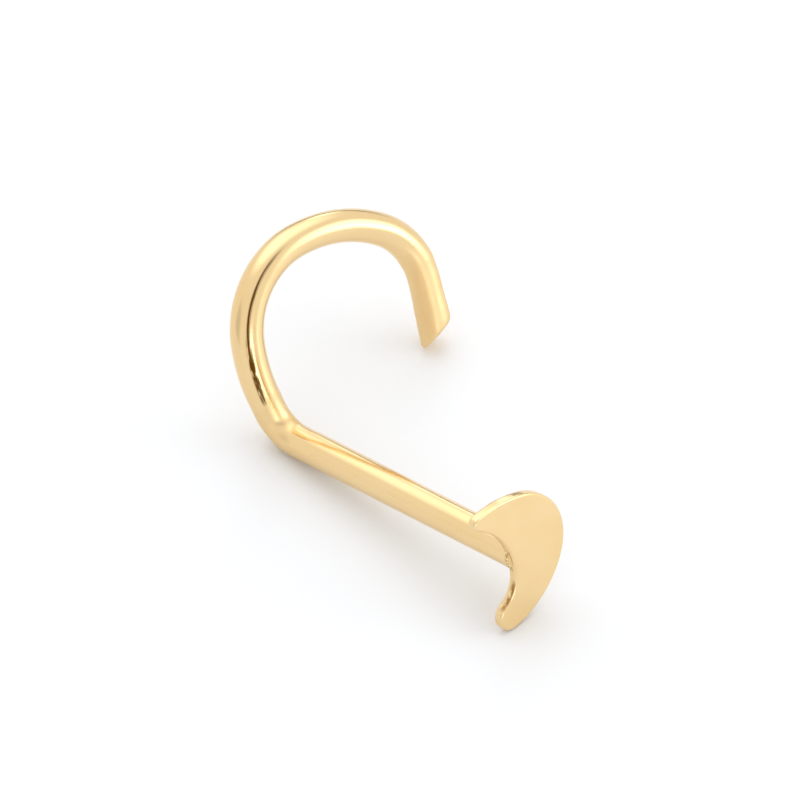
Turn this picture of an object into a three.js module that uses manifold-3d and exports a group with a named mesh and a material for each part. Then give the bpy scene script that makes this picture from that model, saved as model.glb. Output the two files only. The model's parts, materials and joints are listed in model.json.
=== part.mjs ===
// A nose screw in yellow gold: a straight post of round wire, a sharp bend into a hook that
// curls inside the nostril, and a flat crescent moon soldered to the post's other end. It is
// soldered metal, so it is one solid. It lies as it rests unworn, on the bend, the lower horn
// of the moon and the hook's tip. Millimetres, +Z up, the moon's face towards -Y.
//
// The wire and the moon are drawn in a working frame: +X runs along the post to the moon,
// +Y across to the hook's tip and +Z up, with zero where post and riser would cross. The hook
// leans back from the moon, towards -X.

import * as THREE from 'three';
import { mergeVertices } from 'three/addons/utils/BufferGeometryUtils.js';
import Module from 'manifold-3d';

// Wire: 22 gauge, with the hook's rounds in order from the riser to the tip.
const WIRE_DIAMETER = 0.64;
const POST_LENGTH = 6.42; // zero to the moon's front face
const BEND_RADIUS = 0.65;
const BEND_TURN = 74.3; // degrees, so that the hook leans back from the moon
const RISER_LENGTH = 0.32;
const RISER_LEAN = 6.7; // degrees, away from the tip
const HOOK_SWING = 1.8; // degrees about the riser, bringing the tip nearer the moon
const HOOK_ROUNDS = [
  { radius: 3.32, turn: 19.1 },
  { radius: 1.67, turn: 79.8 },
  { radius: 2.94, turn: 39.8 },
  { radius: 1.63, turn: 55 },
];
const TIP_LENGTH = 1.09; // straight end, on the centre line
const TIP_CUT = 36; // degrees from a square cut
const TIP_CUT_SIDE = 45; // degrees from straight across, turned towards the moon

// Moon: outline of tangent rounds, clockwise from the upper horn; a hollow round is negative.
const MOON_THICKNESS = 0.19;
const MOON_EDGE = 0.03; // softened edge, both ways
const MOON_START = { across: -0.89, up: 1.38, heading: 8 };
const MOON_ROUNDS = [
  { radius: 2.32, turn: 29.6 },
  { radius: 1.27, turn: 95.5 },
  { radius: 1.69, turn: 58.6 },
  { radius: 0.29, turn: 158 },
  { radius: -0.64, turn: 58.4 },
  { radius: -1.63, turn: 61.7 },
  { radius: 0.13, turn: 138.4 },
];

// Solder: a hollow fillet round the post's end, kept inside the moon's outline.
const FILLET = 0.28;

// Rest: how far the stud tips until bend, horn and tip all touch the floor.
const REST_TILT = 10.8; // degrees, raising the moon's end of the post

// Mesh fineness.
const WIRE_SIDES = 20;
const WIRE_STEPS = 104;
const OUTLINE_STEP = 7.5; // degrees of turn
const FILLET_STEPS = 5;

const AXIS_X = new THREE.Vector3(1, 0, 0);
const AXIS_Z = new THREE.Vector3(0, 0, 1);
const wireRadius = WIRE_DIAMETER / 2;
const radians = THREE.MathUtils.degToRad;

/** A round stretch that leaves a point along a heading and turns about an axis. */
class Round extends THREE.Curve {
  constructor(start, heading, axis, radius, turn) {
    super();
    this.centre = axis.clone().cross(heading).multiplyScalar(radius).add(start);
    this.arm = start.clone().sub(this.centre);
    this.axis = axis;
    this.turn = radians(turn);
  }

  getPoint(share, target = new THREE.Vector3()) {
    return target.copy(this.arm).applyAxisAngle(this.axis, share * this.turn).add(this.centre);
  }
}

/** A pen that draws one tangent stretch after another, straight or round. */
class Pen {
  constructor(place, heading) {
    this.place = place;
    this.heading = heading;
    this.stretches = [];
  }

  straight(length) {
    const end = this.place.clone().addScaledVector(this.heading, length);
    this.stretches.push(new THREE.LineCurve3(this.place, end));
    this.place = end;
  }

  round(axis, radius, turn) {
    const stretch = new Round(this.place, this.heading, axis, radius, turn);
    this.stretches.push(stretch);
    this.place = stretch.getPoint(1);
    this.heading = this.heading.clone().applyAxisAngle(axis, stretch.turn);
  }
}

const wasm = await Module();
wasm.setup();

/** Turns a closed three.js geometry into a solid that can be joined and cut. */
function solid(geometry) {
  const bare = geometry.clone();
  bare.deleteAttribute('normal');
  bare.deleteAttribute('uv');
  const merged = mergeVertices(bare, 1e-5);
  return new wasm.Manifold(new wasm.Mesh({
    numProp: 3,
    vertProperties: merged.attributes.position.array,
    triVerts: new Uint32Array(merged.index.array),
  }));
}

/** Turns a solid back into a three.js geometry. */
function geometryOf(body) {
  const mesh = body.getMesh();
  const geometry = new THREE.BufferGeometry();
  geometry.setAttribute('position', new THREE.BufferAttribute(mesh.vertProperties, 3));
  geometry.setIndex(new THREE.BufferAttribute(mesh.triVerts, 1));
  geometry.computeVertexNormals();
  return geometry;
}

/** The wire: post, bend, riser, hook and tip in one sweep, with the tip cut off slanting. */
function wire() {
  const postEnd = new THREE.Vector3(POST_LENGTH - MOON_THICKNESS / 2, 0, 0);
  const pen = new Pen(postEnd, AXIS_X.clone().negate());
  const upright = AXIS_Z.clone().applyAxisAngle(AXIS_X, radians(RISER_LEAN));
  const bendAxis = new THREE.Vector3().crossVectors(pen.heading, upright);
  pen.straight(postEnd.x - BEND_RADIUS * Math.tan(radians(BEND_TURN / 2)));
  pen.round(bendAxis, BEND_RADIUS, BEND_TURN);
  pen.straight(RISER_LENGTH);
  const hookAxis = pen.heading.clone().cross(bendAxis);
  hookAxis.applyAxisAngle(pen.heading, radians(-HOOK_SWING));
  for (const { radius, turn } of HOOK_ROUNDS) {
    pen.round(hookAxis, radius, turn);
  }
  const tip = pen.place.clone().addScaledVector(pen.heading, TIP_LENGTH);
  pen.straight(TIP_LENGTH + WIRE_DIAMETER);

  const path = new THREE.CurvePath();
  path.curves = pen.stretches;
  const section = new THREE.Shape(
    Array.from({ length: WIRE_SIDES }, (_, side) => {
      const angle = (side / WIRE_SIDES) * 2 * Math.PI;
      return new THREE.Vector2(Math.cos(angle), Math.sin(angle)).multiplyScalar(wireRadius);
    }),
  );
  const sweep = new THREE.ExtrudeGeometry(section, { steps: WIRE_STEPS, extrudePath: path });

  const across = pen.heading.clone().cross(hookAxis);
  const cutAxis = across.applyAxisAngle(pen.heading, radians(TIP_CUT_SIDE)).cross(pen.heading);
  const cutFace = pen.heading.clone().applyAxisAngle(cutAxis, radians(-TIP_CUT));
  const waste = new THREE.BoxGeometry(WIRE_DIAMETER * 4, WIRE_DIAMETER * 4, WIRE_DIAMETER * 4);
  waste.applyQuaternion(new THREE.Quaternion().setFromUnitVectors(AXIS_Z, cutFace));
  waste.translate(...tip.clone().addScaledVector(cutFace, WIRE_DIAMETER * 2).toArray());
  return solid(sweep).subtract(solid(waste));
}

/** The moon's outline as a flat shape: x across to the outer edge, y up. */
function moonOutline() {
  const heading = AXIS_X.clone().applyAxisAngle(AXIS_Z, radians(MOON_START.heading));
  const pen = new Pen(new THREE.Vector3(MOON_START.across, MOON_START.up, 0), heading);
  const points = [];
  for (const { radius, turn } of MOON_ROUNDS) {
    const clockwise = radius > 0 ? AXIS_Z.clone().negate() : AXIS_Z;
    pen.round(clockwise, Math.abs(radius), turn);
    points.push(...pen.stretches.at(-1).getPoints(Math.ceil(turn / OUTLINE_STEP)).slice(0, -1));
  }
  points.push(pen.place);
  return new THREE.Shape(points.map((point) => new THREE.Vector2(point.x, point.y)));
}

/** Stands a flat shape's prism across the post, growing from a place along it. */
function acrossPost(geometry, place) {
  geometry.rotateX(Math.PI / 2);
  geometry.rotateZ(Math.PI / 2);
  geometry.translate(place, 0, 0);
  return solid(geometry);
}

/** The crescent plate, with softened edges. */
function moon() {
  const plate = new THREE.ExtrudeGeometry(moonOutline(), {
    depth: MOON_THICKNESS - 2 * MOON_EDGE,
    bevelThickness: MOON_EDGE,
    bevelSize: MOON_EDGE,
    bevelOffset: -MOON_EDGE,
    bevelSegments: 2,
  });
  return acrossPost(plate, POST_LENGTH - MOON_THICKNESS + MOON_EDGE);
}

/** The solder fillet behind the moon, a hollow flare cut to the moon's outline. */
function solder() {
  const inside = POST_LENGTH - MOON_THICKNESS / 2;
  const profile = [new THREE.Vector2(0, inside)];
  const back = POST_LENGTH - MOON_THICKNESS;
  profile.push(new THREE.Vector2(wireRadius + FILLET, inside));
  for (let step = 0; step <= FILLET_STEPS; step += 1) {
    const angle = (step / FILLET_STEPS) * (Math.PI / 2);
    const out = wireRadius + FILLET * (1 - Math.sin(angle));
    profile.push(new THREE.Vector2(out, back - FILLET * (1 - Math.cos(angle))));
  }
  profile.push(new THREE.Vector2(0, back - FILLET));
  const flare = new THREE.LatheGeometry(profile.reverse(), WIRE_SIDES);
  flare.rotateZ(-Math.PI / 2);
  const keep = new THREE.ExtrudeGeometry(moonOutline(), { depth: FILLET * 2, bevelEnabled: false });
  return solid(flare).intersect(acrossPost(keep, back - FILLET * 1.5));
}

const noseScrew = new THREE.Mesh(
  geometryOf(wire().add(moon()).add(solder())),
  new THREE.MeshStandardMaterial({ color: 0xe9c88f, roughness: 0.2, metalness: 1 }),
);
noseScrew.name = 'nose_screw';

const tipped = new THREE.Group();
tipped.rotation.y = radians(-REST_TILT);
tipped.add(noseScrew);

// The moon turns to face -Y, and zero goes to the middle of the floor under the whole stud.
const group = new THREE.Group();
group.rotation.z = -Math.PI / 2;
group.add(tipped);
group.updateMatrixWorld(true);
const bounds = new THREE.Box3().setFromObject(group, true);
const middle = bounds.getCenter(new THREE.Vector3());
group.position.set(-middle.x, -middle.y, -bounds.min.z);

export default group;
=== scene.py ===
"""A nose screw in yellow gold, finished around its CAD frame, with wire, solder and moon as one."""

import json
import math

import bpy
from mathutils import Matrix, Quaternion, Vector

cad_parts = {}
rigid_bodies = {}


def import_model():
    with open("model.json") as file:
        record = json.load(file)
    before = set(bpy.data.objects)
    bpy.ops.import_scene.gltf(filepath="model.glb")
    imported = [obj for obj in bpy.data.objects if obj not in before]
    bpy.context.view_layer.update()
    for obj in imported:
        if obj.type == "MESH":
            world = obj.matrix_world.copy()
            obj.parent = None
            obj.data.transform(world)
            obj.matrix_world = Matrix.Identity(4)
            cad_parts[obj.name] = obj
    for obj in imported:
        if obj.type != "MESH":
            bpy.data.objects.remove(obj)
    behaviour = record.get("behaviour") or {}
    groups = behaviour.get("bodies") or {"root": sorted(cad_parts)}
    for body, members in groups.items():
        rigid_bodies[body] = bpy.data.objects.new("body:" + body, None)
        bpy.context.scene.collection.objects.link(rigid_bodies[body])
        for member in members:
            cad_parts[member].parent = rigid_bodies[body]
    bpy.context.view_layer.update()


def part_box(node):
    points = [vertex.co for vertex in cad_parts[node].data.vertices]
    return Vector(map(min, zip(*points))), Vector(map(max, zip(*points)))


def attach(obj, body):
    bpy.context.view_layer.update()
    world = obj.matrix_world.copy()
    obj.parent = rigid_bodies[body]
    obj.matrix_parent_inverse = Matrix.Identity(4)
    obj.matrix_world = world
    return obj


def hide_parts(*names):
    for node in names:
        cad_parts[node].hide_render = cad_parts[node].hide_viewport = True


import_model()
bpy.ops.object.select_all(action="DESELECT")


# ---- The wire ------------------------------------------------------------------------------
# One length of round 22 gauge wire of 14k yellow gold, drawn, annealed and bent with round-nosed
# pliers: a straight post, a sharp bend, a riser and a hook that lies inside the nostril. The
# end is snipped off slanting and its rim is polished soft. It is drawn in millimetres with +X
# along the post to the moon, +Y across to the hook's tip and +Z up the hook.
WIRE_RADIUS = 0.32
POST_LENGTH = 6.42
BEND_RADIUS = 0.65
BEND_TURN = 74.3  # degrees, so that the hook leans back from the moon
RISER_LENGTH = 0.32
RISER_LEAN = 6.7  # degrees, away from the tip
HOOK_SWING = 1.8  # degrees about the riser, bringing the tip nearer the moon
HOOK_ROUNDS = ((3.32, 19.1), (1.67, 79.8), (2.94, 39.8), (1.63, 55.0))  # radius, degrees of turn
TIP_LENGTH = 1.1
TIP_CUT = 36.0  # degrees from a square cut
TIP_CUT_SIDE = 45.0  # degrees from straight across, turned towards the moon
TIP_SOFTENING = 0.1  # on the rim of the cut
TIP_SPREAD = 0.06  # how fast the end widens, where the snips have squeezed it
TIP_FLARE = 0.66  # how much of the end widens ever faster
TIP_STEPS = 9
TIP_WASTE = 2 * WIRE_RADIUS  # drawn past the tip, for the cut to take off
BEND_INSIDE = Vector((0.35, 0.0, 0.45))
SMOOTHED_REACH = 0.55  # round the inside of the bend and the start of the straight end
SMOOTHED_STROKES = 30
SMOOTHING = 0.5  # how far one stroke takes a point towards the middle of its neighbours
WIRE_SIDES = 64
POST_RINGS = 24
BEND_STEP = 3.0  # degrees between rings
RISER_RINGS = 4
HOOK_STEP = 1.5
CORNER_STEPS = 4  # faces across a softened corner
PLAIN_POST = 5.1  # how far the post runs before the soldered end begins

AXIS_X = Vector((1, 0, 0))
AXIS_Y = Vector((0, 1, 0))
AXIS_Z = Vector((0, 0, 1))


def turned(vector, axis, degrees):
    """A vector turned about an axis."""
    return Quaternion(axis, math.radians(degrees)) @ vector


class Pen:
    """Where the wire or outline that is being drawn has got to, where it heads, and its side."""

    def __init__(self, place, heading, side):
        self.place = place.copy()
        self.heading = heading.copy()
        self.side = side.copy()
        self.stretches = []

    def note(self, axis, radius, size):
        """Keeps a stretch: its start, heading and side, its axis and radius, its length or turn."""
        start = (self.place.copy(), self.heading.copy(), self.side.copy())
        self.stretches.append((*start, axis, radius, size))

    def straight(self, length, steps=1):
        """Extrudes what is selected straight on."""
        self.note(None, 0.0, length)
        for _ in range(steps):
            move = self.heading * length / steps
            bpy.ops.mesh.extrude_region_move(TRANSFORM_OT_translate={"value": move})
        self.place += self.heading * length

    def round(self, axis, radius, degrees, step):
        """Spins what is selected through a round stretch, with a ring every few degrees."""
        centre = self.place + axis.cross(self.heading) * radius
        self.note(axis, radius, math.radians(degrees))
        bpy.ops.mesh.spin(
            steps=max(2, math.ceil(degrees / step)),
            angle=-math.radians(degrees),
            center=centre,
            axis=axis,
        )
        self.place = centre + turned(self.place - centre, axis, degrees)
        self.heading = turned(self.heading, axis, degrees)
        self.side = turned(self.side, axis, degrees)


wire_start = Vector((PLAIN_POST, 0, 0))
bpy.ops.mesh.primitive_circle_add(
    vertices=WIRE_SIDES, radius=WIRE_RADIUS, location=wire_start, rotation=(0, math.radians(-90), 0)
)
wire = bpy.context.object
wire.name = "nose_screw_fine"
bpy.ops.object.transform_apply(location=True, rotation=True, scale=True)
bpy.ops.object.mode_set(mode="EDIT")
bpy.ops.mesh.select_all(action="SELECT")
pen = Pen(wire_start, -AXIS_X, AXIS_Y)
bend_axis = pen.heading.cross(turned(AXIS_Z, AXIS_X, RISER_LEAN))
bend_start = BEND_RADIUS * math.tan(math.radians(BEND_TURN / 2))
pen.straight(wire_start.x - bend_start, steps=POST_RINGS)
pen.round(bend_axis, BEND_RADIUS, BEND_TURN, step=BEND_STEP)
pen.straight(RISER_LENGTH, steps=RISER_RINGS)
hook_axis = turned(pen.heading.cross(bend_axis), pen.heading, -HOOK_SWING)
for radius, degrees in HOOK_ROUNDS:
    pen.round(hook_axis, radius, degrees, step=HOOK_STEP)
end_start = pen.place.copy()
tip = end_start + pen.heading * TIP_LENGTH
width = 1.0
slope = 0.0
for step in [TIP_FLARE / TIP_STEPS] * TIP_STEPS + [TIP_LENGTH - TIP_FLARE + TIP_WASTE]:
    pen.straight(step)
    if step < TIP_FLARE:
        slope += TIP_SPREAD / TIP_STEPS
    new_width = width + slope * step
    share = new_width / width
    bpy.ops.transform.resize(value=(share, share, share), center_override=pen.place)
    width = new_width

# The slant cut, with its rim softened. What was squeezed is then smoothed: the inside of the
# bend, where the pliers closed on it, and the start of the straight end.
cut_towards = turned(pen.heading.cross(hook_axis), pen.heading, TIP_CUT_SIDE)
cut_face = turned(pen.heading, cut_towards.cross(pen.heading), -TIP_CUT)
bpy.ops.mesh.select_more()
bpy.ops.mesh.bisect(plane_co=tip, plane_no=cut_face, use_fill=True, clear_outer=True)
bpy.ops.mesh.bevel(offset=TIP_SOFTENING, segments=CORNER_STEPS, affect="EDGES")
bpy.ops.mesh.select_all(action="DESELECT")
bpy.ops.mesh.select_mode(type="VERT")
bpy.ops.object.mode_set(mode="OBJECT")
for vertex in wire.data.vertices:
    away = min((vertex.co - middle).length for middle in (BEND_INSIDE, end_start))
    vertex.select = away < SMOOTHED_REACH
bpy.ops.object.mode_set(mode="EDIT")
bpy.ops.mesh.vertices_smooth(factor=SMOOTHING, repeat=SMOOTHED_STROKES)
bpy.ops.object.mode_set(mode="OBJECT")


# ---- The moon ------------------------------------------------------------------------------
# A flat crescent cut from sheet of the same gold, square across the end of the post, with its
# hollow side towards the tip's side. Tumbling has softened its edges and left its face very
# slightly crowned.
MOON_THICKNESS = 0.19
MOON_EDGE = 0.03  # softened
MOON_START = Vector((0, -0.89, 1.38))  # the upper horn, from the post's centre line
MOON_START_HEADING = 8.0  # degrees above straight across
MOON_ROUNDS = (  # radius, degrees of turn, clockwise from the upper horn; a hollow is negative
    (2.32, 29.6),
    (1.27, 95.5),
    (1.69, 58.6),
    (0.29, 158.0),
    (-0.64, 58.4),
    (-1.63, 61.7),
    (0.13, 138.4),
)
OUTLINE_START = 0.1  # a small plane, merged at once into the point that draws the outline
OUTLINE_STEP = 3.0  # degrees between points
OUTLINE_DOUBLES = 0.002  # points nearer than this are one
FLAT_SIDE = 0.9  # how nearly square to the post a face is that belongs to the front or back
moon_back = POST_LENGTH - MOON_THICKNESS


def moon_plate(name, back, thickness):
    """A plate with the crescent's outline, drawn from one point and left in edit mode."""
    start = MOON_START + Vector((back, 0, 0))
    bpy.ops.mesh.primitive_plane_add(size=OUTLINE_START, location=start)
    plate = bpy.context.object
    plate.name = name
    bpy.ops.object.transform_apply(location=True, rotation=True, scale=True)
    bpy.ops.object.mode_set(mode="EDIT")
    bpy.ops.mesh.select_all(action="SELECT")
    bpy.ops.mesh.merge(type="CENTER")
    outline = Pen(start, turned(AXIS_Y, AXIS_X, MOON_START_HEADING), AXIS_X)
    for radius, degrees in MOON_ROUNDS:
        clockwise = -AXIS_X if radius > 0 else AXIS_X
        outline.round(clockwise, abs(radius), degrees, step=OUTLINE_STEP)
    bpy.ops.mesh.select_all(action="SELECT")
    bpy.ops.mesh.remove_doubles(threshold=OUTLINE_DOUBLES)
    bpy.ops.mesh.edge_face_add()
    bpy.ops.mesh.extrude_region_move(TRANSFORM_OT_translate={"value": (thickness, 0, 0)})
    bpy.ops.mesh.select_all(action="SELECT")
    bpy.ops.mesh.normals_make_consistent(inside=False)
    return plate


# The edges round the front and the back are softened.
moon = moon_plate("moon", moon_back, MOON_THICKNESS)
bpy.ops.mesh.select_all(action="DESELECT")
bpy.ops.mesh.select_mode(type="FACE")
bpy.ops.object.mode_set(mode="OBJECT")
for face in moon.data.polygons:
    face.select = abs(face.normal.x) > FLAT_SIDE
bpy.ops.object.mode_set(mode="EDIT")
bpy.ops.mesh.region_to_loop()
bpy.ops.mesh.bevel(offset=MOON_EDGE, segments=CORNER_STEPS, affect="EDGES")
bpy.ops.object.mode_set(mode="OBJECT")


# ---- The solder ----------------------------------------------------------------------------
# Easy gold solder, run in behind the moon with a torch: a hollow fillet round the post's end
# that stops at the moon's outline. Plate, solder and the post's end are fused into one skin,
# with every corner rounded as melting and tumbling leave it, and the wire grows out of it.
FILLET = 0.28
FILLET_STEPS = 10
KEEPER_BACK = moon_back - FILLET * 1.5  # a thick moon, outside which no solder is kept
KEEPER_DEPTH = FILLET * 1.5 + MOON_THICKNESS * 0.8
STUB_START = PLAIN_POST - 0.2  # the stub is the soldered end of the post
STUB_END = POST_LENGTH - MOON_THICKNESS / 2
SKIN_START = PLAIN_POST + 0.05
SKIN_GRAIN = 0.013  # size of the skin's faces
SKIN_STROKES = 6  # of smoothing
CROWN = 0.025  # how far the middle of the moon's face stands proud
CROWN_MIDDLE = Vector((POST_LENGTH, 0.35, 0.35))
CROWN_FLAT = 0.2
CROWN_REACH = 1.5
bpy.ops.mesh.primitive_circle_add(
    vertices=WIRE_SIDES,
    radius=WIRE_RADIUS + FILLET,
    fill_type="NGON",
    location=(STUB_END, 0, 0),
    rotation=(0, math.radians(-90), 0),
)
solder = bpy.context.object
solder.name = "solder"
bpy.ops.object.transform_apply(location=True, rotation=True, scale=True)
bpy.ops.object.mode_set(mode="EDIT")
bpy.ops.mesh.select_all(action="SELECT")
place = moon_back
width = WIRE_RADIUS + FILLET
bpy.ops.mesh.extrude_region_move(TRANSFORM_OT_translate={"value": (-MOON_THICKNESS / 2, 0, 0)})
for step in range(1, FILLET_STEPS + 1):
    angle = math.radians(90 * step / FILLET_STEPS)
    new_place = moon_back - FILLET * (1 - math.cos(angle))
    new_width = WIRE_RADIUS + FILLET * (1 - math.sin(angle))
    bpy.ops.mesh.extrude_region_move(TRANSFORM_OT_translate={"value": (new_place - place, 0, 0)})
    share = new_width / width
    bpy.ops.transform.resize(value=(1, share, share), center_override=(new_place, 0, 0))
    place = new_place
    width = new_width
bpy.ops.mesh.select_all(action="SELECT")
bpy.ops.mesh.normals_make_consistent(inside=False)
bpy.ops.object.mode_set(mode="OBJECT")

keeper = moon_plate("keeper", KEEPER_BACK, KEEPER_DEPTH)
bpy.ops.object.mode_set(mode="OBJECT")
trim = solder.modifiers.new("trim", "BOOLEAN")
trim.operation = "INTERSECT"
trim.object = keeper
trim.solver = "EXACT"
bpy.ops.object.select_all(action="DESELECT")
solder.select_set(True)
bpy.context.view_layer.objects.active = solder
bpy.ops.object.modifier_apply(modifier="trim")
bpy.data.objects.remove(keeper)

# The stub of the post, the solder and the moon are fused into one skin.
bpy.ops.mesh.primitive_cylinder_add(
    vertices=WIRE_SIDES,
    radius=WIRE_RADIUS,
    depth=STUB_END - STUB_START,
    location=((STUB_END + STUB_START) / 2, 0, 0),
    rotation=(0, math.radians(90), 0),
)
skin = bpy.context.object
bpy.ops.object.transform_apply(location=True, rotation=True, scale=True)
solder.select_set(True)
moon.select_set(True)
bpy.ops.object.join()
fuse = skin.modifiers.new("fuse", "REMESH")
fuse.mode = "VOXEL"
fuse.voxel_size = SKIN_GRAIN
soften = skin.modifiers.new("soften", "SMOOTH")
soften.factor = SMOOTHING
soften.iterations = SKIN_STROKES
bpy.ops.object.modifier_apply(modifier="fuse")
bpy.ops.object.modifier_apply(modifier="soften")

# The skin's rough start is cut off, its face is crowned, and it is bridged to the wire.
bpy.ops.object.mode_set(mode="EDIT")
bpy.ops.mesh.select_all(action="SELECT")
bpy.ops.mesh.bisect(plane_co=(SKIN_START, 0, 0), plane_no=(-1, 0, 0), clear_outer=True)
bpy.ops.mesh.select_all(action="DESELECT")
bpy.ops.mesh.select_mode(type="VERT")
bpy.ops.object.mode_set(mode="OBJECT")
for vertex in skin.data.vertices:
    vertex.select = (vertex.co - CROWN_MIDDLE).length < CROWN_FLAT
bpy.ops.object.mode_set(mode="EDIT")
bpy.ops.transform.translate(
    value=(CROWN, 0, 0),
    use_proportional_edit=True,
    proportional_edit_falloff="SMOOTH",
    proportional_size=CROWN_REACH,
)
bpy.ops.object.mode_set(mode="OBJECT")
bpy.ops.object.select_all(action="DESELECT")
skin.select_set(True)
wire.select_set(True)
bpy.context.view_layer.objects.active = wire
bpy.ops.object.join()
bpy.ops.object.mode_set(mode="EDIT")
bpy.ops.mesh.select_mode(type="EDGE")
bpy.ops.mesh.select_all(action="DESELECT")
bpy.ops.mesh.select_non_manifold()
bpy.ops.mesh.bridge_edge_loops()
bpy.ops.mesh.select_all(action="SELECT")
bpy.ops.mesh.normals_make_consistent(inside=False)
bpy.ops.object.mode_set(mode="OBJECT")


def straightened(point):
    """Where a point would lie if the wire were straight: along it, and two ways across."""
    found = None
    along = -PLAIN_POST
    for place, heading, side, axis, radius, size in pen.stretches:
        if axis is None:
            # Only the first stretch also runs back from its start, to the moon.
            reach = min((point - place).dot(heading), size)
            if pen.stretches[0][0] != place:
                reach = max(reach, 0.0)
            middle = place + heading * reach
            length = size
        else:
            centre = place + axis.cross(heading) * radius
            arm = place - centre
            away = point - centre
            turn = math.atan2(away.dot(heading), away.dot(arm) / radius)
            turn = min(max(turn, 0.0), size)
            middle = centre + arm * math.cos(turn) + heading * radius * math.sin(turn)
            heading, side = (Quaternion(axis, turn) @ way for way in (heading, side))
            reach = radius * turn
            length = radius * size
        off = point - middle
        if found is None or off.length < found[0]:
            across = (off.dot(side), off.dot(heading.cross(side)))
            found = (off.length, along + reach, *across)
        along += length
    return found[1:]


# The drawing lines, scratches, tool marks and the painted dark reflection follow the wire, so its
# finish is laid out on it as it was before bending, in millimetres from where post and riser cross.
layout = wire.data.attributes.new("straightened", "FLOAT_VECTOR", "POINT")
for vertex in wire.data.vertices:
    layout.data[vertex.index].vector = straightened(vertex.co)

# The stud lies as it rests, tipped back on its bend, its hook's tip and the moon's lower horn.
REST_TILT = 10.8  # degrees, raising the moon's end of the post
MM = 0.001
SHARPEST_SMOOTHED = 50.0  # degrees between faces
stud = wire
stud.matrix_world = (
    Matrix.Rotation(math.radians(-90), 4, "Z")
    @ Matrix.Rotation(math.radians(-REST_TILT), 4, "Y")
    @ Matrix.Scale(MM, 4)
)
bpy.ops.object.transform_apply(location=True, rotation=True, scale=True)
low = Vector(min(v.co[i] for v in stud.data.vertices) for i in range(3))
high = Vector(max(v.co[i] for v in stud.data.vertices) for i in range(3))
frame_low, frame_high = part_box("nose_screw")
shift = (frame_low + frame_high) / 2 - (low + high) / 2
shift.z = frame_low.z - low.z
stud.matrix_world = Matrix.Translation(shift)
bpy.ops.object.transform_apply(location=True, rotation=True, scale=True)
bpy.ops.object.shade_smooth_by_angle(angle=math.radians(SHARPEST_SMOOTHED))
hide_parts("nose_screw")
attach(stud, "root")


# ---- Gold ----------------------------------------------------------------------------------
# 14k yellow gold, drawn, soldered and tumbled with steel shot: a pale yellow mirror that is a
# little soft, with fine lines along the wire, tool marks at the bend, a painted dark reflection
# along the wire, painted shadow on the lower horn's rim and brown oxide at the seam.
# It is a metal, so its colour is that of its reflections.
POLISHED = 0.15  # roughness
PALE_GOLD = "#F2D7A5"
DEEP_GOLD = "#EDCB91"
# Painted shadow inside the lower horn's front edge, with the brown of the saw's burr:
HORN_SHADOW_AND_BURR_BROWN = "#96642A"
SEAM_BROWN = "#8A5A22"
# Painted dark reflection along the wire:
PAINTED_REFLECTION_BROWN = "#5F3D0B"
GRAINS = {  # waves per mm along the wire and both ways across it, detail and roughness of noise
    "tone": ((0.5, 1.6, 1.6), 2.0, 0.5),  # cloudy, about a millimetre across
    # Drawing lines, 0.03 mm apart. Real ones are under 0.01 mm, which is too fine to show.
    "lines": ((0.6, 34.0, 34.0), 2.0, 0.5),
    # The dashes also break up the painted dark reflection along the wire.
    "dashes": ((5.0, 22.0, 22.0), 2.0, 0.5),  # from the teeth of the pliers, 0.2 by 0.05 mm
    "specks": ((16.0, 16.0, 16.0), 3.0, 0.6),  # 0.06 mm, as fine as tumbling leaves them
    # The burr's grain also breaks up the painted shadow on the lower horn's rim.
    "burr": ((7.0, 7.0, 7.0), 2.0, 0.5),  # 0.14 mm, from the teeth of the saw
    "waves": ((0.8, 1.6, 1.6), 1.0, 0.5),  # from bending by hand, about a millimetre long
}
# Where the painted dark reflection lies along the wire, in a shallow crease, and its dashed part
# near the bend:
REFLECTION_AND_CREASE_ANGLE = -130.0  # degrees round the wire
REFLECTION_AND_CREASE_BAND = (6.5, 2.5)  # degrees either side, here and below from nothing to full
TOOL_MARKS_AND_REFLECTION_BAND = (13.0, 5.0)
REFLECTION_AND_CREASE_BREAKS = (0.3, 0.46)  # in its grain, from 0 to 1
TOOL_MARKS_AND_REFLECTION_BREAKS = (0.36, 0.5)
REFLECTION_AND_CREASE_START = (0.62, 0.78)  # mm along the wire
REFLECTION_AND_CREASE_END = (3.9, 3.1)
TOOL_MARKS_AND_REFLECTION_END = (2.1, 1.5)
SEAM_PLACE = MOON_THICKNESS / 2 - POST_LENGTH  # on the post's end, which the moon leaves bare
SEAM_BAND = (0.05, 0.01)
SEAM_RADIUS = (WIRE_RADIUS + 0.1, WIRE_RADIUS + 0.02)
SEAM_BREAKS = (0.44, 0.6)
# Where the painted shadow on the lower horn's inner rim lies:
HORN_HOLLOW = (-6.32, -0.4, 0.74)  # the middle of the lower horn's inner rim
HORN_REACH = (0.36, 0.22)
HORN_BREAKS = (0.32, 0.5)
HORN_FRONT = (0.005 - POST_LENGTH, 0.03 - POST_LENGTH)
HORN_BACK = (0.14 - POST_LENGTH, 0.06 - POST_LENGTH)
BEND_MARKS_START = (-0.75, -0.2)
BEND_MARKS_END = (0.75, 0.35)
END_MARKS = (6.3, 7.5)
WAVE_DEPTH = 0.008  # mm
LINE_DEPTH = 0.0006
CREASE_DEPTH = 0.004
SHALLOW = 0.6  # strength of the lines' and the crease's relief


def linear(hex_colour):
    """An sRGB hex colour as linear RGBA."""
    channels = [int(hex_colour[i : i + 2], 16) / 255 for i in (1, 3, 5)]
    return [c / 12.92 if c <= 0.04045 else ((c + 0.055) / 1.055) ** 2.4 for c in channels] + [1.0]


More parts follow.
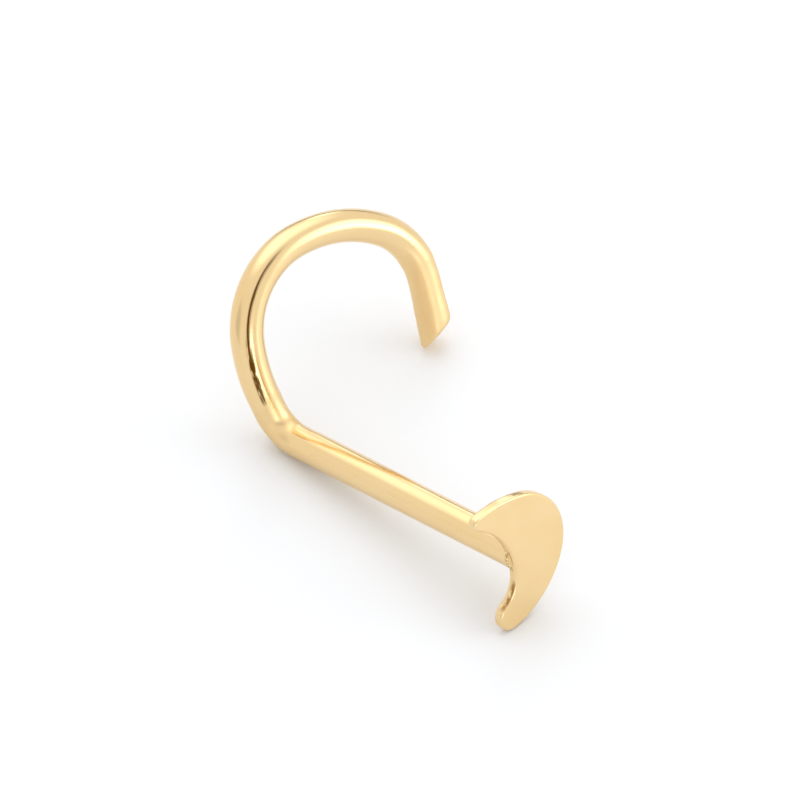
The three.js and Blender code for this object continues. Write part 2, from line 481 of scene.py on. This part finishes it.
def add_node(tree, kind, settings=None, inputs=None):
    """Adds a node, with its settings, and its inputs as values or as sockets to link from."""
    node = tree.nodes.new(kind)
    for name, value in (settings or {}).items():
        setattr(node, name, value)
    for name, value in (inputs or {}).items():
        if isinstance(value, bpy.types.NodeSocket):
            tree.links.new(value, node.inputs[name])
        else:
            node.inputs[name].default_value = value
    return node


def shown(tree, *edges):
    """How much of a mark shows: 1 inside all its soft edges, falling smoothly to 0 outside.

    Each edge is a measure, its value where nothing shows and its value where all does.
    """
    amount = 1.0
    for measure, none, full in edges:
        edge = add_node(
            tree,
            "ShaderNodeMapRange",
            {"interpolation_type": "SMOOTHSTEP"},
            {
                "Value": measure,
                "From Min": min(none, full),
                "From Max": max(none, full),
                "To Min": float(none > full),
                "To Max": float(none < full),
            },
        )
        amount = add_node(
            tree, "ShaderNodeMath", {"operation": "MULTIPLY"}, {0: amount, 1: edge.outputs[0]}
        ).outputs[0]
    return amount


gold = bpy.data.materials.new("14k_yellow_gold_tumble_polished")
gold.use_nodes = True
tree = gold.node_tree
tree.nodes.clear()
place = add_node(tree, "ShaderNodeAttribute", {"attribute_name": "straightened"}).outputs["Vector"]
along = add_node(tree, "ShaderNodeSeparateXYZ", inputs={0: place}).outputs["X"]
grains = {}
for name, (waves, detail, roughness) in GRAINS.items():
    scaled = add_node(tree, "ShaderNodeVectorMath", {"operation": "MULTIPLY"}, {0: place, 1: waves})
    grains[name] = add_node(
        tree,
        "ShaderNodeTexNoise",
        inputs={
            "Vector": scaled.outputs[0],
            "Scale": 1.0,
            "Detail": detail,
            "Roughness": roughness,
        },
    ).outputs["Fac"]

# Painted reflection: a brown line along the wire on the side away from the tip's curl, standing
# in for the tent's dark front slit mirrored in the gold. It lies in a shallow crease that the draw
# plate left, and near the bend it is broken into dashes with the tool marks of the pliers.
reflection_and_crease_side = turned(AXIS_Y, AXIS_X, REFLECTION_AND_CREASE_ANGLE) / WIRE_RADIUS
facing = add_node(
    tree, "ShaderNodeVectorMath", {"operation": "DOT_PRODUCT"}, {0: place, 1: reflection_and_crease_side}
).outputs["Value"]
reflection_and_crease_band, tool_band = (
    [math.cos(math.radians(edge)) for edge in band] for band in (REFLECTION_AND_CREASE_BAND, TOOL_MARKS_AND_REFLECTION_BAND)
)
crease_and_painted_reflection = shown(
    tree,
    (facing, *reflection_and_crease_band),
    (grains["lines"], *REFLECTION_AND_CREASE_BREAKS),
    (along, *REFLECTION_AND_CREASE_START),
    (along, *REFLECTION_AND_CREASE_END),
)
tool_marks_and_painted_reflection = shown(
    tree,
    (facing, *tool_band),
    (along, *REFLECTION_AND_CREASE_START),
    (along, *TOOL_MARKS_AND_REFLECTION_END),
    (grains["dashes"], *TOOL_MARKS_AND_REFLECTION_BREAKS),
)
crease_and_painted_reflection = add_node(
    tree, "ShaderNodeMath", {"operation": "MAXIMUM"}, {0: crease_and_painted_reflection, 1: tool_marks_and_painted_reflection}
).outputs[0]

# The solder's seam shows on the post's bare end and keeps a little brown oxide. The lower horn's
# inner rim gets painted shadow, a brown crescent just inside its front edge, with the brown of the
# burr of the saw, which no wheel reaches.
radius_vector = add_node(
    tree, "ShaderNodeVectorMath", {"operation": "MULTIPLY"}, {0: place, 1: (0, 1, 1)}
).outputs[0]
off_centre = add_node(
    tree, "ShaderNodeVectorMath", {"operation": "LENGTH"}, {0: radius_vector}
).outputs["Value"]
past_seam = add_node(
    tree, "ShaderNodeMath", {"operation": "SUBTRACT"}, {0: along, 1: SEAM_PLACE}
).outputs[0]
off_seam = add_node(tree, "ShaderNodeMath", {"operation": "ABSOLUTE"}, {0: past_seam}).outputs[0]
seam = shown(
    tree,
    (off_seam, *SEAM_BAND),
    (off_centre, *SEAM_RADIUS),
    (grains["specks"], *SEAM_BREAKS),
)
off_hollow = add_node(
    tree, "ShaderNodeVectorMath", {"operation": "DISTANCE"}, {0: place, 1: HORN_HOLLOW}
).outputs["Value"]
horn_rim_shadow_and_burr = shown(
    tree,
    (off_hollow, *HORN_REACH),
    (along, *HORN_FRONT),
    (along, *HORN_BACK),
    (grains["burr"], *HORN_BREAKS),
)

# Where the jaws of the pliers and of the snips have dulled the bend and the end.
bend_marks = shown(tree, (along, *BEND_MARKS_START), (along, *BEND_MARKS_END))
end_marks = shown(tree, (along, *END_MARKS))

colour = linear(PALE_GOLD)
for amount, most, tone in (
    (grains["tone"], 1.0, DEEP_GOLD),
    # painted shadow inside the lower horn's front edge, with the saw's burr
    (horn_rim_shadow_and_burr, 0.85, HORN_SHADOW_AND_BURR_BROWN),
    (seam, 0.6, SEAM_BROWN),
    # painted dark reflection along the wire, in its crease
    (crease_and_painted_reflection, 1.0, PAINTED_REFLECTION_BROWN),
):
    share = add_node(tree, "ShaderNodeMath", {"operation": "MULTIPLY"}, {0: amount, 1: most})
    colour = add_node(
        tree,
        "ShaderNodeMix",
        {"data_type": "RGBA"},
        {"Factor": share.outputs[0], "A": colour, "B": linear(tone)},
    ).outputs["Result"]

roughness = POLISHED
for amount, most in (
    (bend_marks, 0.18),
    (end_marks, 0.3),
    (crease_and_painted_reflection, 0.25),
    (seam, 0.25),
    (grains["specks"], 0.03),
):
    roughness = add_node(
        tree,
        "ShaderNodeMath",
        {"operation": "MULTIPLY_ADD"},
        {0: amount, 1: most, 2: roughness},
    ).outputs[0]

# Relief: slow waves from bending by hand, then fine drawing lines, then the sunk crease.
relief = add_node(
    tree,
    "ShaderNodeBump",
    inputs={"Height": grains["waves"], "Strength": 1.0, "Distance": WAVE_DEPTH * MM},
).outputs[0]
for height, depth, sunk in ((grains["lines"], LINE_DEPTH, False), (crease_and_painted_reflection, CREASE_DEPTH, True)):
    relief = add_node(
        tree,
        "ShaderNodeBump",
        {"invert": sunk},
        {"Height": height, "Strength": SHALLOW, "Distance": depth * MM, "Normal": relief},
    ).outputs[0]
shader = add_node(
    tree,
    "ShaderNodeBsdfPrincipled",
    inputs={"Base Color": colour, "Metallic": 1.0, "Roughness": roughness, "Normal": relief},
)
add_node(tree, "ShaderNodeOutputMaterial", inputs={"Surface": shader.outputs[0]})
stud.data.materials.clear()
stud.data.materials.append(gold)


# ---- Table top -----------------------------------------------------------------------------
# A sheet of cast white acrylic, matt sanded. It gives a bright white ground, slightly cool, with
# blurred reflections close to where the stud touches it.
TABLE_WIDTH = 2.0  # m
ACRYLIC_WHITE = "#EBEDF0"
ACRYLIC_ROUGHNESS = 0.4
bpy.ops.mesh.primitive_plane_add(size=TABLE_WIDTH, location=(0, 0, 0))
table_top = bpy.context.object
table_top.name = "table_top"
acrylic = bpy.data.materials.new("white_acrylic_sheet")
acrylic.use_nodes = True
tree = acrylic.node_tree
tree.nodes.clear()
shader = add_node(
    tree,
    "ShaderNodeBsdfPrincipled",
    inputs={"Base Color": linear(ACRYLIC_WHITE), "Roughness": ACRYLIC_ROUGHNESS},
)
add_node(tree, "ShaderNodeOutputMaterial", inputs={"Surface": shader.outputs[0]})
table_top.data.materials.append(acrylic)


# ---- Light tent ----------------------------------------------------------------------------
# A tent of white cloth round the table, lit from outside by soft boxes. Its wall is duller where
# no box stands, and the slit of its front curtain shows in the gold as a brown line.
TENT_LEVEL = 1.0
SEEN_LEVEL = 1.2  # of the tent behind the table, so that it stays white
SOFT_BOXES = (  # azimuth, elevation, degrees to the even part's edge and to the dark, strength
    (150, 60, 10, 45, 0.75),
    (43, 17, 8, 26, 1.35),
    (38, 4, 5, 17, 1.0),
    (-16, 7, 4, 15, 2.2),
    (130, 17, 3, 10, 1.0),
)
DULL_WALLS = (  # azimuth, degrees to its edges, elevations where it ends and is full, depth
    (-110, 8, 22, 38, 20, 0.25),
    (134, 14, 34, 10, 5, 0.7),
)
SLIT_FOOT = (-44, 10)  # azimuth and elevation; it leans to the right as it goes up
SLIT_HEAD = (-14, 58)
SLIT_WIDTH = (9, 2)  # degrees from its middle, here and below from nothing to full
SLIT_BOTTOM = (7, 16)  # elevations
SLIT_TOP = (70, 52)
SLIT_WALL = (-35, 50, 75)  # azimuth and degrees to the edges of the wall that it is in
SLIT_DEPTH = 0.6
SLIT_BROWN = "#B8801C"

tent = bpy.data.worlds.new("light_tent")
bpy.context.scene.world = tent
tent.use_nodes = True
tree = tent.node_tree
tree.nodes.clear()
towards = add_node(tree, "ShaderNodeTexCoord").outputs["Generated"]
level = add_node(
    tree, "ShaderNodeVectorMath", {"operation": "MULTIPLY"}, {0: towards, 1: (1, 1, 0)}
).outputs[0]
level = add_node(tree, "ShaderNodeVectorMath", {"operation": "NORMALIZE"}, {0: level}).outputs[0]
height = add_node(tree, "ShaderNodeSeparateXYZ", inputs={0: towards}).outputs["Z"]


def direction(azimuth, elevation):
    """Unit vector towards a place round the stud: azimuth 0 is in front of it, 90 to its right."""
    a, e = math.radians(azimuth), math.radians(elevation)
    return Vector((math.sin(a) * math.cos(e), -math.cos(a) * math.cos(e), math.sin(e)))


def near(looking, centre, inner, outer):
    """The soft edge round a direction, in degrees from it."""
    facing = add_node(
        tree, "ShaderNodeVectorMath", {"operation": "DOT_PRODUCT"}, {0: looking, 1: centre}
    ).outputs["Value"]
    return facing, math.cos(math.radians(outer)), math.cos(math.radians(inner))


def heights(none, full):
    """The soft edge between two elevations."""
    return height, direction(0, none).z, direction(0, full).z


light = TENT_LEVEL
for azimuth, elevation, inner, outer, strength in SOFT_BOXES:
    box = shown(tree, near(towards, direction(azimuth, elevation), inner, outer))
    light = add_node(
        tree, "ShaderNodeMath", {"operation": "MULTIPLY_ADD"}, {0: box, 1: strength, 2: light}
    ).outputs[0]

shades = []
for azimuth, inner, outer, none, full, depth in DULL_WALLS:
    wall = near(level, direction(azimuth, 0), inner, outer)
    shades.append((shown(tree, wall, heights(none, full)), depth))
slit_normal = direction(*SLIT_FOOT).cross(direction(*SLIT_HEAD)).normalized()
aside = add_node(
    tree, "ShaderNodeVectorMath", {"operation": "DOT_PRODUCT"}, {0: towards, 1: slit_normal}
).outputs["Value"]
aside = add_node(tree, "ShaderNodeMath", {"operation": "ABSOLUTE"}, {0: aside}).outputs[0]
slit_wall = near(level, direction(SLIT_WALL[0], 0), *SLIT_WALL[1:])
slit_edge = (aside, *(math.sin(math.radians(width)) for width in SLIT_WIDTH))
slit = shown(tree, slit_edge, heights(*SLIT_BOTTOM), heights(*SLIT_TOP), slit_wall)
shades.append((slit, SLIT_DEPTH))
for shade, depth in shades:
    kept = add_node(
        tree, "ShaderNodeMath", {"operation": "MULTIPLY_ADD"}, {0: shade, 1: -depth, 2: 1.0}
    )
    light = add_node(
        tree, "ShaderNodeMath", {"operation": "MULTIPLY"}, {0: light, 1: kept.outputs[0]}
    ).outputs[0]

browned = add_node(tree, "ShaderNodeMath", {"operation": "MULTIPLY"}, {0: slit, 1: SLIT_DEPTH})
tint = add_node(
    tree,
    "ShaderNodeMix",
    {"data_type": "RGBA"},
    {"Factor": browned.outputs[0], "A": linear("#FFFFFF"), "B": linear(SLIT_BROWN)},
).outputs["Result"]
seen = add_node(tree, "ShaderNodeLightPath").outputs["Is Camera Ray"]
light = add_node(
    tree, "ShaderNodeMix", inputs={"Factor": seen, "A": light, "B": SEEN_LEVEL}
).outputs[0]
background = add_node(tree, "ShaderNodeBackground", inputs={"Color": tint, "Strength": light})
add_node(tree, "ShaderNodeOutputWorld", inputs={"Surface": background.outputs[0]})


# ---- Camera --------------------------------------------------------------------------------
# A long lens from the front left, looking down at the stud, with everything sharp.
CAMERA_AZIMUTH = -45.07
CAMERA_ELEVATION = 44.27
CAMERA_DISTANCE = 0.2
CAMERA_NEAR = 0.01
CAMERA_FAR = 10.0
VIEW_WIDTH = 0.0149  # at the stud
SENSOR = 36.0
LOOK_AT = Vector((-0.00055406, 0.00043512, 0.0017026))
camera_data = bpy.data.cameras.new("camera")
camera_data.sensor_width = SENSOR
camera_data.lens = SENSOR * CAMERA_DISTANCE / VIEW_WIDTH
camera_data.clip_start = CAMERA_NEAR
camera_data.clip_end = CAMERA_FAR
camera = bpy.data.objects.new("camera", camera_data)
bpy.context.scene.collection.objects.link(camera)
back = direction(CAMERA_AZIMUTH, CAMERA_ELEVATION)
camera.rotation_mode = "QUATERNION"
camera.rotation_quaternion = back.to_track_quat("Z", "Y")
camera.location = LOOK_AT + back * CAMERA_DISTANCE
bpy.context.scene.camera = camera
bpy.context.scene.view_settings.view_transform = "Standard"
bpy.context.scene.view_settings.look = "None"
